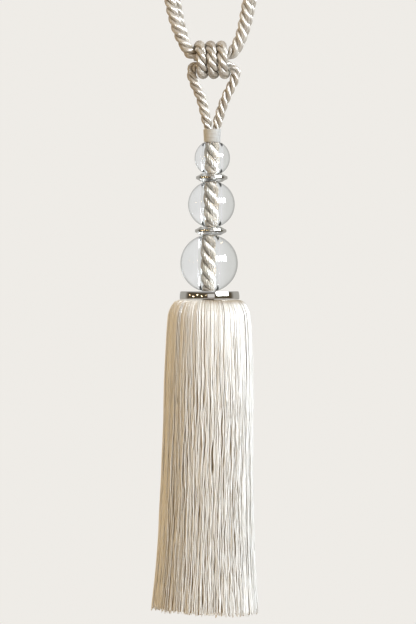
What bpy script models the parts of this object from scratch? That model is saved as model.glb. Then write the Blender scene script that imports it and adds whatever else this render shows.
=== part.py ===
"""A curtain tieback tassel, as it hangs from the inner top of its rope loop.

A doubled rope loop and the tassel's own rope pass through a knot of three wound turns. Below it hang a
wound sleeve, three clear beads with bright discs between them, a bright cap and a long yarn skirt. Metres,
+Z up, the front faces -Y, and the origin is the point under the top of the loop where a hook holds it.
"""

import math
import random

import bmesh
import bpy
from mathutils import Vector

MM = 0.001
FIT_GAP = 0.3 * MM  # between pieces that touch on the real thing

# The ropes: three strands twisted to the left
ROPE_DIAMETER = 6.5 * MM
ROPE_PITCH = 15.3 * MM  # one whole turn of a strand
ROPE_STRANDS = 3
ROPE_VALLEY = 0.62  # depth between the strands, as a share of the rope's radius
ROPE_STEP = 1.7 * MM  # between the rings of points along a rope
ROUTE_FINENESS = 24  # points worked out between two of a route's own points
WINDING_FINENESS = 48  # points worked out on each turn of a winding

# The knot: three turns of rope wound round the others
KNOT_CENTRE = Vector((1.0, 0.0, -179.0)) * MM
KNOT_TURNS = 3
KNOT_PITCH = 6.0 * MM
KNOT_OUTER_RADIUS = 10.9 * MM
KNOT_UPRIGHT = 0.09  # how far the turns stand upright at the front and cross over at the back
BINDING_THICKNESS = 0.86  # of the rope's diameter
BINDING_END = 6.0 * MM  # length over which a cut end of it tapers off
BINDING_END_THICKNESS = 0.4

# How thin the ropes are pressed, as a share of their thickness, and over what length they swell again
NECK_IN_KNOT = 0.69
LEG_THICKNESS = 0.88
NECK_IN_SLEEVE = 0.56
KNOT_HALF_LENGTH = 9.2 * MM
KNOT_SWELL = 4.4 * MM
SLEEVE_GRIP = 3.2 * MM
LEG_SWELL = 5.0 * MM

# The loop's route from the knot's middle up its left side, over the hook and down its right side, in
# millimetres from the knot's centre: x of the front rope, x of the back rope, half the distance between
# them, z
LOOP_ROUTE = (
    (-0.4, -0.4, 2.45, 1.35),
    (-5.0, -5.0, 2.45, 1.35),
    (-9.4, -10.2, 2.55, 2.4),
    (-12.3, -13.0, 3.1, 4.6),
    (-14.9, -14.6, 3.4, 7.8),
    (-17.4, -16.1, 3.45, 12.4),
    (-20.9, -18.4, 3.45, 22.2),
    (-23.3, -20.4, 3.45, 33.3),
    (-25.2, -22.6, 3.45, 52.0),
    (-25.1, -23.0, 3.45, 76.0),
    (-22.4, -21.0, 3.45, 105.0),
    (-18.4, -17.9, 3.45, 138.0),
    (-15.8, -15.8, 3.45, 161.0),
    (-13.0, -13.0, 3.45, 173.5),
    (-8.0, -8.0, 3.45, 180.2),
    (-1.0, -1.0, 3.45, 182.25),
    (6.0, 6.0, 3.45, 180.2),
    (11.0, 11.0, 3.45, 173.5),
    (13.8, 13.8, 3.45, 161.0),
    (16.4, 16.9, 3.45, 138.0),
    (20.4, 21.8, 3.45, 105.0),
    (22.5, 24.5, 3.45, 76.0),
    (22.1, 24.1, 3.45, 52.0),
    (20.1, 21.9, 3.45, 33.3),
    (18.2, 19.6, 3.45, 22.2),
    (16.2, 17.0, 3.45, 13.4),
    (14.0, 14.6, 3.4, 8.2),
    (11.8, 12.6, 3.1, 4.6),
    (9.0, 9.8, 2.55, 2.4),
    (5.0, 5.0, 2.45, 1.35),
    (0.4, 0.4, 2.45, 1.35),
)

# The tassel's rope, from the sleeve up its left leg, through the knot and down its right leg: x, y and z in
# millimetres from the knot's centre
TASSEL_ROUTE = (
    (-1.8, 0.0, -42.6),
    (-1.8, 0.0, -39.6),
    (-2.4, 0.0, -36.4),
    (-3.0, 0.0, -33.6),
    (-4.6, 0.0, -26.9),
    (-6.5, 0.0, -20.2),
    (-9.5, 0.4, -13.5),
    (-11.2, 1.0, -8.0),
    (-10.6, 0.6, -4.2),
    (-7.4, 0.0, -2.9),
    (0.0, 0.0, -2.9),
    (7.4, 0.0, -2.9),
    (11.4, 0.0, -4.0),
    (13.2, 0.0, -7.8),
    (11.5, 0.0, -13.5),
    (8.2, 0.0, -20.2),
    (5.6, 0.0, -26.9),
    (3.6, 0.0, -33.6),
    (2.9, 0.0, -36.4),
    (2.2, 0.0, -39.6),
    (2.2, 0.0, -42.6),
)

# The stack below the legs, from the cap up; each piece's x follows the slight lean of the stack
BORE_RADIUS = 4.2 * MM
CAP_TOP_Z = KNOT_CENTRE.z - 129.1 * MM
CAP_RADIUS = 16.65 * MM
CAP_THICKNESS = 4.4 * MM
DISC_THICKNESS = 4.7 * MM
DISC_RIM = 1.5 * MM
DISC_BORE_RADIUS = 4.8 * MM
SLEEVE_FOOT = 0.93  # its foot's radius, as a share of its top's
SLEEVE_WALL = 0.4 * MM
SLEEVE_HEIGHT = 7.4 * MM
SLEEVE_WINDS = 7
STACK = (  # name, kind, radius, radius of the flat at its ends, x in millimetres; from the cap upwards
    ("bead_large", "bead", 16.0, 4.4, -0.5),
    ("disc_lower", "disc", 8.8, 5.7, 0.4),
    ("bead_medium", "bead", 13.0, 4.6, 0.8),
    ("disc_upper", "disc", 8.8, 5.7, 1.0),
    ("bead_small", "bead", 9.85, 5.2, 1.3),
    ("sleeve", "sleeve", 4.95, 4.95, 1.2),
)
CAP_X = -0.25 * MM
CORE_THICKNESS = 1.06  # of the rope's diameter: it opens a little where nothing grips it
CORE_LEAN = 0.2 * MM  # how far left of the bores' middles it lies

# The skirt: radius of its outline and x of its middle, at depths below the cap
SKIRT_X = -0.5 * MM
SKIRT_LENGTH = 174.0 * MM
SKIRT_SECTORS = 64
SKIRT_RIB = 0.4 * MM  # how far a strand's ridge stands out, and its valley back, on the shoulder
SHOULDER = (  # radius, depth in millimetres
    (16.6, 0.0),
    (19.4, 1.1),
    (21.9, 4.8),
    (23.3, 9.8),
)
SKIRT_OUTLINE = (  # depth, radius, middle's x in millimetres, from where the strands part to the hem
    (9.8, 23.3, -0.5),
    (40.0, 24.9, -0.7),
    (75.0, 25.4, -1.1),
    (110.0, 26.2, -1.7),
    (145.0, 27.7, -2.4),
    (174.0, 30.2, -3.0),
)
INNER_RINGS = (  # radius of the ring's inner edge at the strands' roots, in millimetres, and its sectors
    (18.4, 64),
    (12.0, 32),
    (5.0, 16),
    (1.5, 8),
)
# Of the room at the root, for the outer ring and each inner one
STRAND_THICKNESS = (0.84, 0.80, 0.78, 0.78, 0.74)
STRAND_STEPS = (5, 3, 2, 2, 1)  # straight lengths in a strand of each ring
STRAND_WAVE = 0.9 * MM
HEM_UNEVEN = 2.2 * MM
SEED = 7

BEAD_ROWS = 7
TURN_STEPS = 20  # sides of a turned piece
SLEEVE_STEPS = 16


def start_clean():
    for old in list(bpy.data.objects):
        bpy.data.objects.remove(old, do_unlink=True)


def new_collection(name):
    group = bpy.data.collections.new(name)
    bpy.context.scene.collection.children.link(group)
    return group


def finish(name, colour, roughness, metallic=0.0, transmission=0.0):
    """A named Principled material."""
    material = bpy.data.materials.new(name)
    material.use_nodes = True
    shader = material.node_tree.nodes["Principled BSDF"]
    shader.inputs["Base Color"].default_value = (*colour, 1.0)
    shader.inputs["Roughness"].default_value = roughness
    shader.inputs["Metallic"].default_value = metallic
    shader.inputs["Transmission Weight"].default_value = transmission
    return material


def place(name, data, material, group):
    piece = bpy.data.objects.new(name, data)
    data.materials.append(material)
    group.objects.link(piece)
    return piece


def smoothstep(t):
    t = min(max(t, 0.0), 1.0)
    return t * t * (3.0 - 2.0 * t)


# ---------------------------------------------------------------- ropes


def smooth_route(keys, step):
    """Evenly spaced points, a step apart, on the smooth curve through a route's own points."""
    times = [0.0]
    for a, b in zip(keys, keys[1:]):
        times.append(times[-1] + (b - a).length)
    slopes = []
    for i in range(len(keys)):
        lo, hi = max(i - 1, 0), min(i + 1, len(keys) - 1)
        slopes.append((keys[hi] - keys[lo]) / (times[hi] - times[lo]))
    fine = []
    for i in range(len(keys) - 1):
        span = times[i + 1] - times[i]
        for k in range(ROUTE_FINENESS):
            t = k / ROUTE_FINENESS
            fine.append(
                keys[i] * (2 * t**3 - 3 * t**2 + 1)
                + slopes[i] * span * (t**3 - 2 * t**2 + t)
                + keys[i + 1] * (3 * t**2 - 2 * t**3)
                + slopes[i + 1] * span * (t**3 - t**2)
            )
    fine.append(keys[-1])
    return evenly_spaced(fine, step)


def evenly_spaced(line, step):
    along = [0.0]
    for a, b in zip(line, line[1:]):
        along.append(along[-1] + (b - a).length)
    count = max(2, round(along[-1] / step))
    points, i = [], 0
    for k in range(count + 1):
        want = along[-1] * k / count
        while i < len(line) - 2 and along[i + 1] < want:
            i += 1
        share = (want - along[i]) / (along[i + 1] - along[i])
        points.append(line[i].lerp(line[i + 1], min(share, 1.0)))
    return points


def length_of(points):
    return sum((b - a).length for a, b in zip(points, points[1:]))


def rope_section(guides):
    """The guide curve across a rope: one ridge for each strand and a valley between each two."""
    curve = bpy.data.curves.new("rope_section", "CURVE")
    curve.dimensions = "2D"
    spline = curve.splines.new("POLY")
    corners = 2 * ROPE_STRANDS
    spline.points.add(corners - 1)
    for k, point in enumerate(spline.points):
        angle = -math.tau * k / corners
        reach = ROPE_DIAMETER / 2 * (ROPE_VALLEY if k % 2 else 1.0)
        point.co = (reach * math.cos(angle), reach * math.sin(angle), 0.0, 1.0)
    spline.use_cyclic_u = True
    guide = bpy.data.objects.new("rope_section", curve)
    guide.hide_render = True
    guide.display_type = "WIRE"
    guides.objects.link(guide)
    return guide


def rope(name, points, thickness, section, material, group):
    """A twisted rope along the points. thickness(s, length) gives its share of the full diameter at s."""
    curve = bpy.data.curves.new(name, "CURVE")
    curve.dimensions = "3D"
    curve.twist_mode = "MINIMUM"
    curve.bevel_mode = "OBJECT"
    curve.bevel_object = section
    curve.use_fill_caps = True
    spline = curve.splines.new("POLY")
    spline.points.add(len(points) - 1)
    length = length_of(points)
    along = 0.0
    for k, (point, at) in enumerate(zip(spline.points, points)):
        if k:
            along += (at - points[k - 1]).length
        point.co = (*at, 1.0)
        point.radius = thickness(along, length)
        point.tilt = -math.tau * along / ROPE_PITCH
    return place(name, curve, material, group)


def loop_thickness(along, length):
    from_end = min(along, length - along)
    return NECK_IN_KNOT + (1.0 - NECK_IN_KNOT) * smoothstep((from_end - KNOT_HALF_LENGTH) / KNOT_SWELL)


def tassel_rope_thickness(along, length):
    """Pressed thin in the sleeve at both ends and in the knot at the middle."""
    from_end = min(along, length - along)
    from_middle = abs(along - length / 2)
    leg = NECK_IN_SLEEVE + (LEG_THICKNESS - NECK_IN_SLEEVE) * smoothstep((from_end - SLEEVE_GRIP) / LEG_SWELL)
    knot = NECK_IN_KNOT + (1.0 - NECK_IN_KNOT) * smoothstep((from_middle - KNOT_HALF_LENGTH) / KNOT_SWELL)
    return min(leg, knot)


def binding_thickness(along, length):
    from_end = min(along, length - along)
    taper = smoothstep(from_end / BINDING_END)
    return BINDING_THICKNESS * (BINDING_END_THICKNESS + (1.0 - BINDING_END_THICKNESS) * taper)


def core_thickness(along, length):
    return CORE_THICKNESS


def loop_keys(back):
    side = 1.0 if back else -1.0
    return [KNOT_CENTRE + Vector((row[1 if back else 0], side * row[2], row[3])) * MM for row in LOOP_ROUTE]


def tassel_rope_keys():
    return [KNOT_CENTRE + Vector(row) * MM for row in TASSEL_ROUTE]


def binding_points():
    """Three turns round the knot's level axis, from back to back, so that all three show at the front."""
    radius = KNOT_OUTER_RADIUS - BINDING_THICKNESS * ROPE_DIAMETER / 2
    fine = []
    for k in range(WINDING_FINENESS * KNOT_TURNS + 1):
        turn = k / WINDING_FINENESS - 0.5
        wound = turn - KNOT_UPRIGHT * math.sin(math.tau * turn)
        angle = math.tau * (turn + 0.25)
        across = KNOT_PITCH * (wound - (KNOT_TURNS - 1) / 2)
        fine.append(KNOT_CENTRE + Vector((across, -radius * math.sin(angle), radius * math.cos(angle))))
    return evenly_spaced(fine, ROPE_STEP)


# ---------------------------------------------------------------- turned pieces


def turned(name, profile, at, material, group, steps=TURN_STEPS):
    """A closed profile of (radius, height), outer side first and top to bottom, turned about the Z axis."""
    mesh = bpy.data.meshes.new(name)
    sides = [(i, (i + 1) % len(profile)) for i in range(len(profile))]
    mesh.from_pydata([(r, 0.0, z) for r, z in profile], sides, [])
    piece = place(name, mesh, material, group)
    piece.location = at
    turn = piece.modifiers.new("turn", "SCREW")
    turn.angle = math.tau
    turn.steps = turn.render_steps = steps
    turn.axis = "Z"
    turn.use_merge_vertices = True
    turn.merge_threshold = 0.01 * MM
    turn.use_smooth_shade = True
    return piece


def bead_profile(radius, seat):
    half = math.sqrt(radius**2 - seat**2)
    first = math.asin(half / radius)
    outer = []
    for k in range(BEAD_ROWS + 1):
        angle = first - 2 * first * k / BEAD_ROWS
        outer.append((radius * math.cos(angle), radius * math.sin(angle)))
    return outer + [(BORE_RADIUS, -half), (BORE_RADIUS, half)]


def disc_profile(radius, hub):
    half = DISC_THICKNESS / 2
    edge = DISC_RIM / 2
    upper = [(hub, half), (radius - edge, edge), (radius, edge / 2)]
    lower = [(r, -z) for r, z in reversed(upper)]
    return upper + lower + [(DISC_BORE_RADIUS, -half), (DISC_BORE_RADIUS, half)]


def sleeve_profile(radius, _):
    """A wound band: a row of small rounded ridges, a little narrower at its foot."""
    half = SLEEVE_HEIGHT / 2
    pitch = SLEEVE_HEIGHT / SLEEVE_WINDS
    groove = 0.18 * MM
    outer = []
    for k in range(SLEEVE_WINDS):
        edge = half - k * pitch
        reach = radius * (1.0 + (SLEEVE_FOOT - 1.0) * k / (SLEEVE_WINDS - 1))
        outer += [(reach - groove, edge), (reach, edge - pitch / 2)]
    foot = radius * SLEEVE_FOOT - groove
    return outer + [(foot, -half), (foot - SLEEVE_WALL, -half), (radius - groove - SLEEVE_WALL, half)]


def cap_profile():
    chamfer = 0.35 * MM
    waist = 0.25 * MM
    half = CAP_THICKNESS / 2
    return [
        (CAP_RADIUS - chamfer, half),
        (CAP_RADIUS, half - chamfer),
        (CAP_RADIUS - waist, 0.0),
        (CAP_RADIUS, chamfer - half),
        (CAP_RADIUS - chamfer, -half),
        (BORE_RADIUS, -half),
        (BORE_RADIUS, half),
    ]


PROFILES = {"bead": bead_profile, "disc": disc_profile, "sleeve": sleeve_profile}


def stacked_profiles():
    """Each stacked piece's profile and middle, worked out upwards from the cap, a gap between neighbours."""
    level = CAP_TOP_Z
    for name, kind, radius, seat, x in STACK:
        profile = PROFILES[kind](radius * MM, seat * MM)
        half = profile[0][1]
        level += FIT_GAP + half
        yield name, kind, profile, Vector((x * MM, 0.0, level))
        level += half


def core_keys():
    """The inner rope's route, from the head's top along every bead's bore to under the legs' ends."""
    top = KNOT_CENTRE.z + TASSEL_ROUTE[0][2] * MM - FIT_GAP
    foot = CAP_TOP_Z - CAP_THICKNESS
    keys = []
    for _, kind, profile, middle in stacked_profiles():
        if kind == "bead":
            half = profile[0][1]
            keys.append(middle + Vector((-CORE_LEAN, 0.0, -half)))
            keys.append(middle + Vector((-CORE_LEAN, 0.0, half)))
    first, last = keys[0], keys[-1]
    return [Vector((first.x, 0.0, foot)), *keys, Vector((last.x, 0.0, top))]


# ---------------------------------------------------------------- the skirt


def outline_at(depth):
    """The skirt's radius and its middle's x at a depth below the cap, between the table's rows."""
    rows = SKIRT_OUTLINE
    for (d0, r0, x0), (d1, r1, x1) in zip(rows, rows[1:]):
        if depth <= d1 * MM:
            share = (depth - d0 * MM) / ((d1 - d0) * MM)
            return (r0 + (r1 - r0) * share) * MM, (x0 + (x1 - x0) * share) * MM
    return rows[-1][1] * MM, rows[-1][2] * MM


def ring_of(bm, radii, z, count):
    """A ring of points whose radii take turns, for ridges and valleys."""
    ring = []
    for k in range(count):
        angle = math.tau * k / count
        reach = radii[k % len(radii)]
        ring.append(bm.verts.new((SKIRT_X + reach * math.sin(angle), -reach * math.cos(angle), z)))
    return ring


def bridge(bm, upper, lower):
    for k in range(len(upper)):
        n = (k + 1) % len(upper)
        bm.faces.new((upper[n], upper[k], lower[k], lower[n]))


def head_with_roots(bm, top):
    """The tassel's head: a ribbed round shoulder, and under it one face for the root of each strand."""
    rows = []
    for i, (radius, depth) in enumerate(SHOULDER):
        rib = SKIRT_RIB * i / (len(SHOULDER) - 1)
        radii = (radius * MM - rib, radius * MM + rib)
        rows.append(ring_of(bm, radii, top - depth * MM, 2 * SKIRT_SECTORS))
    bm.faces.new(rows[0])
    for upper, lower in zip(rows, rows[1:]):
        bridge(bm, upper, lower)
    valleys, ridges = rows[-1][0::2], rows[-1][1::2]
    roots = [[bm.faces.new((valleys[k - 1], valleys[k], ridges[k - 1])) for k in range(SKIRT_SECTORS)]]
    outer = valleys
    for radius, count in INNER_RINGS:
        inner = ring_of(bm, (radius * MM,), top - SHOULDER[-1][1] * MM, count)
        roots.append(inner_roots(bm, outer, inner))
        outer = inner
    bm.faces.new(outer)
    return roots


def inner_roots(bm, outer, inner):
    """A ring of root faces. Where the inner edge has half as many points, every other face is a triangle."""
    faces = []
    if len(outer) == len(inner):
        for k in range(len(inner)):
            faces.append(bm.faces.new((outer[k - 1], outer[k], inner[k], inner[k - 1])))
        return faces
    for k in range(len(inner)):
        first, middle, last = outer[2 * k - 2], outer[2 * k - 1], outer[2 * k]
        faces.append(bm.faces.new((first, middle, inner[k], inner[k - 1])))
        faces.append(bm.faces.new((middle, last, inner[k])))
    return faces


def grow_strand(bm, face, ring, top, rng):
    """A root face is pushed down in steps to the hem, thinner than its root and with a slight wave."""
    start = SHOULDER[-1][1] * MM
    length = SKIRT_LENGTH + HEM_UNEVEN * (rng.random() - 0.5)
    root_radius, _ = outline_at(start)
    middle = face.calc_center_median()
    home = Vector((middle.x - SKIRT_X, middle.y))
    angle = math.atan2(home.y, home.x)
    across = Vector((-math.sin(angle), math.cos(angle)))
    corners = [Vector((v.co.x - middle.x, v.co.y - middle.y)) * STRAND_THICKNESS[ring] for v in face.verts]
    for step in range(1, STRAND_STEPS[ring] + 1):
        face = bmesh.ops.extrude_discrete_faces(bm, faces=[face])["faces"][0]
        share = step / STRAND_STEPS[ring]
        depth = start + (length - start) * share
        radius, x = outline_at(depth)
        sway = STRAND_WAVE * share * math.sin(3.0 * angle + 5.0 * share + ring)
        spot = home * (radius / root_radius) + across * sway
        for vert, corner in zip(face.verts, corners):
            vert.co = (x + spot.x + corner.x, spot.y + corner.y, top - depth)


def skirt(material, group):
    rng = random.Random(SEED)
    top = CAP_TOP_Z - CAP_THICKNESS - FIT_GAP
    bm = bmesh.new()
    for ring, faces in enumerate(head_with_roots(bm, top)):
        for face in faces:
            grow_strand(bm, face, ring, top, rng)
    bmesh.ops.recalc_face_normals(bm, faces=bm.faces)
    mesh = bpy.data.meshes.new("skirt")
    bm.to_mesh(mesh)
    bm.free()
    return place("skirt", mesh, material, group)


# ---------------------------------------------------------------- the whole


def build():
    start_clean()
    group = new_collection("curtain_tieback_tassel")
    guides = new_collection("cutters")
    section = rope_section(guides)
    silk = (0.82, 0.76, 0.66)
    metal = (0.80, 0.80, 0.80)
    ropes = (
        ("embrace_cord_front", smooth_route(loop_keys(back=False), ROPE_STEP), loop_thickness),
        ("embrace_cord_back", smooth_route(loop_keys(back=True), ROPE_STEP), loop_thickness),
        ("tassel_cord", smooth_route(tassel_rope_keys(), ROPE_STEP), tassel_rope_thickness),
        ("binding_cord", binding_points(), binding_thickness),
        ("core_cord", smooth_route(core_keys(), ROPE_STEP), core_thickness),
    )
    for name, points, thickness in ropes:
        rope(name, points, thickness, section, finish(name, silk, 0.45), group)
    looks = {
        "bead": dict(colour=(1.0, 1.0, 1.0), roughness=0.03, transmission=1.0),
        "disc": dict(colour=metal, roughness=0.12, metallic=1.0),
        "sleeve": dict(colour=silk, roughness=0.6),
    }
    for name, kind, profile, middle in stacked_profiles():
        steps = SLEEVE_STEPS if kind == "sleeve" else TURN_STEPS
        turned(name, profile, middle, finish(name, **looks[kind]), group, steps)
    cap_middle = Vector((CAP_X, 0.0, CAP_TOP_Z - CAP_THICKNESS / 2))
    turned("cap_disc", cap_profile(), cap_middle, finish("cap_disc", metal, 0.12, metallic=1.0), group)
    skirt(finish("skirt", (0.80, 0.74, 0.63), 0.55), group)


build()
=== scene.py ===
# %% [markdown]
# # Curtain tieback tassel
# A tieback is a loop of silky rope that holds a curtain open. This one has a wound knot, a short sleeve of
# thread, three clear balls with bright discs between them, a bright cap and a long skirt of fine yarn.
# The solids come from the CAD model. This lesson gives every piece its real surface.

# %% Load the solids
import math
import random

import bpy
import numpy as np
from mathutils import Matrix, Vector


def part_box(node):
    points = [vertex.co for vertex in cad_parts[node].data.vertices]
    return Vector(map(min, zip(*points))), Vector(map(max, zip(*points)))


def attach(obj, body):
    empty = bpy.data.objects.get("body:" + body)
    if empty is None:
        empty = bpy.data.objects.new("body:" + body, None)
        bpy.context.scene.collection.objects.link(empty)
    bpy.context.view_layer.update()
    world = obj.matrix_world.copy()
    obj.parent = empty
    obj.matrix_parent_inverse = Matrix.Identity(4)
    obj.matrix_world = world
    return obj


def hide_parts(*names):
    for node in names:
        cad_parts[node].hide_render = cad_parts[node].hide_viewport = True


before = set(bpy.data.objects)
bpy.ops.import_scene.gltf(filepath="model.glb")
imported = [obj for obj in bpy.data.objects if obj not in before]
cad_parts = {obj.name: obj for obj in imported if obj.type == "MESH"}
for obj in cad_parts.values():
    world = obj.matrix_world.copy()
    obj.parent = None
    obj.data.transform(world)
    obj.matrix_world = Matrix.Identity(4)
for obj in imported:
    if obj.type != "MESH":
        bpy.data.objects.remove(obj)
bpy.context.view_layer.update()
MM = 0.001
print("nodes:", ", ".join(sorted(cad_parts)))

# %% [markdown]
# ## Camera and frame
# The photograph looks straight at the tassel, level with its middle. The middle of the picture falls just
# below the bright cap, and the rope loop runs out at the top edge. The view could be matched by eye, but one
# measured scale, the size of a pixel at the tassel, places the camera at once. A long lens 1.6 m away keeps
# the tassel's width true.

# %% Place the camera
PIXEL = 0.5575 * MM
PICTURE = (416, 624)
PICTURE_TOP = -145.66 * MM  # the height of the picture's top edge
MIDDLE_COLUMN = 210  # the column of pixels in which x is 0
DISTANCE = 1.6
SENSOR = 24.0

camera_data = bpy.data.cameras.new("studio_camera")
camera = bpy.data.objects.new("studio_camera", camera_data)
bpy.context.scene.collection.objects.link(camera)
camera.location = ((PICTURE[0] / 2 - MIDDLE_COLUMN) * PIXEL, -DISTANCE, PICTURE_TOP - PICTURE[1] / 2 * PIXEL)
camera.rotation_euler = (math.radians(90), 0, 0)
camera_data.sensor_fit = "VERTICAL"
camera_data.sensor_height = SENSOR
camera_data.lens = SENSOR * DISTANCE / (PICTURE[1] * PIXEL)
bpy.context.scene.camera = camera
print("lens", round(camera_data.lens, 1), "mm, camera at", [round(c, 3) for c in camera.location])

# %% [markdown]
# ## Small helpers
# Blender's operators work on whatever is selected, so each step first clears the selection. A finished piece
# keeps its place in its mesh, with its object at the origin.

# %% Selecting and finishing a piece
TOUCHING = 1e-6  # points closer than this, in metres, are one


def only(*pieces):
    """Selects just these pieces, the last one active."""
    bpy.ops.object.select_all(action="DESELECT")
    for piece in pieces:
        piece.select_set(True)
        bpy.context.view_layer.objects.active = piece


def at_origin(piece):
    """Puts a piece's place into its mesh."""
    only(piece)
    bpy.ops.object.transform_apply(location=True, rotation=True, scale=True)


def mesh_of(name, curve):
    """A piece whose mesh is made from a curve with a thickness."""
    piece = bpy.data.objects.new(name, curve)
    bpy.context.scene.collection.objects.link(piece)
    only(piece)
    bpy.ops.object.convert(target="MESH")
    return piece


def stands_for(piece, node):
    """Hangs the piece on the tassel's body in place of a CAD node."""
    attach(piece, "root")
    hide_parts(node)
    print(piece.name, "has", sum(len(face.vertices) - 2 for face in piece.data.polygons), "triangles")


# %% [markdown]
# ## The ropes' routes
# The loop is one rope laid double: a front rope and a back rope side by side. The photograph shows their
# lower parts, and the top closes over the hook. The tassel's own rope goes up from the sleeve, through the
# knot and down again. Each route is a few points in millimetres from the knot's middle, joined by one smooth
# curve. A row of the loop's route holds the front rope's x, the back rope's x, half the distance between the
# two ropes, and the height. A row of the tassel rope's route holds x, y and the height.

# %% Route tables
KNOT = Vector((1.0, 0.0, -179.0))
LOOP_ROUTE = (
    (-0.4, -0.4, 2.45, 1.35),
    (-5.0, -5.0, 2.45, 1.35),
    (-9.4, -10.2, 2.55, 2.4),
    (-12.3, -13.0, 3.1, 4.6),
    (-14.9, -14.6, 3.4, 7.8),
    (-17.4, -16.1, 3.45, 12.4),
    (-20.9, -18.4, 3.45, 22.2),
    (-23.3, -20.4, 3.45, 33.3),
    (-25.2, -22.6, 3.45, 52.0),
    (-25.1, -23.0, 3.45, 76.0),
    (-22.4, -21.0, 3.45, 105.0),
    (-18.4, -17.9, 3.45, 138.0),
    (-15.8, -15.8, 3.45, 161.0),
    (-13.0, -13.0, 3.45, 173.5),
    (-8.0, -8.0, 3.45, 180.2),
    (-1.0, -1.0, 3.45, 182.25),
    (6.0, 6.0, 3.45, 180.2),
    (11.0, 11.0, 3.45, 173.5),
    (13.8, 13.8, 3.45, 161.0),
    (16.4, 16.9, 3.45, 138.0),
    (20.4, 21.8, 3.45, 105.0),
    (22.5, 24.5, 3.45, 76.0),
    (22.1, 24.1, 3.45, 52.0),
    (20.1, 21.9, 3.45, 33.3),
    (18.2, 19.6, 3.45, 22.2),
    (16.2, 17.0, 3.45, 13.4),
    (14.0, 14.6, 3.4, 8.2),
    (11.8, 12.6, 3.1, 4.6),
    (9.0, 9.8, 2.55, 2.4),
    (5.0, 5.0, 2.45, 1.35),
    (0.4, 0.4, 2.45, 1.35),
)
TASSEL_ROUTE = (
    (-1.8, 0.0, -42.6),
    (-1.8, 0.0, -39.6),
    (-2.4, 0.0, -36.4),
    (-3.0, 0.0, -33.6),
    (-4.6, 0.0, -26.9),
    (-6.5, 0.0, -20.2),
    (-9.5, 0.4, -13.5),
    (-11.2, 1.0, -8.0),
    (-10.6, 0.6, -4.2),
    (-7.4, 0.0, -2.9),
    (0.0, 0.0, -2.9),
    (7.4, 0.0, -2.9),
    (11.4, 0.0, -4.0),
    (13.2, 0.0, -7.8),
    (11.5, 0.0, -13.5),
    (8.2, 0.0, -20.2),
    (5.6, 0.0, -26.9),
    (3.6, 0.0, -33.6),
    (2.9, 0.0, -36.4),
    (2.2, 0.0, -39.6),
    (2.2, 0.0, -42.6),
)
print("the loop's route has", len(LOOP_ROUTE), "points, the tassel rope's", len(TASSEL_ROUTE))

# %% A smooth curve through a route's points
def length_of(line):
    return sum((b - a).length for a, b in zip(line, line[1:]))


def even(line, step):
    """Points a step apart along a line of points."""
    along = [0.0]
    for a, b in zip(line, line[1:]):
        along.append(along[-1] + (b - a).length)
    count = max(2, round(along[-1] / step))
    spots = np.interp(np.linspace(0, along[-1], count + 1), along, range(len(line)))
    return [line[int(s)].lerp(line[min(int(s) + 1, len(line) - 1)], s % 1) for s in spots]


def smooth(keys, step, fineness=24):
    """Even points on the smooth curve through a route's own points."""
    times = [0.0]
    for a, b in zip(keys, keys[1:]):
        times.append(times[-1] + (b - a).length)
    slopes = []
    for i in range(len(keys)):
        lo, hi = max(i - 1, 0), min(i + 1, len(keys) - 1)
        slopes.append((keys[hi] - keys[lo]) / (times[hi] - times[lo]))
    fine = []
    for i in range(len(keys) - 1):
        span = times[i + 1] - times[i]
        for k in range(fineness):
            t = k / fineness
            bend = slopes[i] * (t**3 - 2 * t**2 + t) + slopes[i + 1] * (t**3 - t**2)
            fine.append(keys[i].lerp(keys[i + 1], 3 * t**2 - 2 * t**3) + bend * span)
    return even(fine + [keys[-1]], step)


# %% The three routes
STEP = 0.9
front_route = smooth([KNOT + Vector((x, -half, z)) for x, _, half, z in LOOP_ROUTE], STEP)
back_route = smooth([KNOT + Vector((x, half, z)) for _, x, half, z in LOOP_ROUTE], STEP)
tassel_route = smooth([KNOT + Vector(row) for row in TASSEL_ROUTE], STEP)
print("loop ropes", round(length_of(front_route)), round(length_of(back_route)), "mm")
print("tassel rope", round(length_of(tassel_route)), "mm")

# %% [markdown]
# ## A laid rope
# Real rope of this kind is three strands twisted round each other to the left, and each strand is a bundle
# of finer yarns twisted to the right. A bump map on one tube would lose the scalloped edge and the deep
# grooves, so each strand is its own fluted tube that follows a helix round the route. Each tube also gets a
# map along and round it, which the silk's streaks follow later.

# %% The outline of one strand
ROPE = 6.5
STRANDS = 3
PITCH = 15.3
STRAND_RADIUS = 1.42
STRAND_OFFSET = 1.83
YARNS = 9
YARN_DEPTH = 0.24
YARN_PITCH = 34.0
GROOVE = (1, 0.22, 0, 0.22)  # how much of the depth each of a yarn's four corners has


def strand_outline():
    """A closed curve with a small groove between its yarns, clockwise, so that the faces point outwards."""
    curve = bpy.data.curves.new("strand_outline", "CURVE")
    spline = curve.splines.new("POLY")
    corners = len(GROOVE) * YARNS
    spline.points.add(corners - 1)
    for k, point in enumerate(spline.points):
        angle = -math.tau * k / corners
        reach = STRAND_RADIUS * MM * (1 - YARN_DEPTH * GROOVE[k % len(GROOVE)])
        point.co = (reach * math.cos(angle), reach * math.sin(angle), 0, 1)
    spline.use_cyclic_u = True
    return bpy.data.objects.new("strand_outline", curve)


outline = strand_outline()
STRAND_SIDES = len(outline.data.splines[0].points)
print("a strand has", STRAND_SIDES, "sides")

# %% Directions that don't twist
def sides_of(line):
    """Two directions across the line at each point, carried along it without any twist of their own."""
    across, sides = None, []
    for k in range(len(line)):
        ahead = (line[min(k + 1, len(line) - 1)] - line[max(k - 1, 0)]).normalized()
        if across is None:
            across = ahead.orthogonal()
        across = (across - ahead * across.dot(ahead)).normalized()
        sides.append((across, ahead.cross(across)))
    return sides


# %% A map along and round each tube
TUBE_SHIFT = 37.7  # each tube's map starts this much further on, and begins again after the map's length
MAP_LENGTH = 1000


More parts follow.
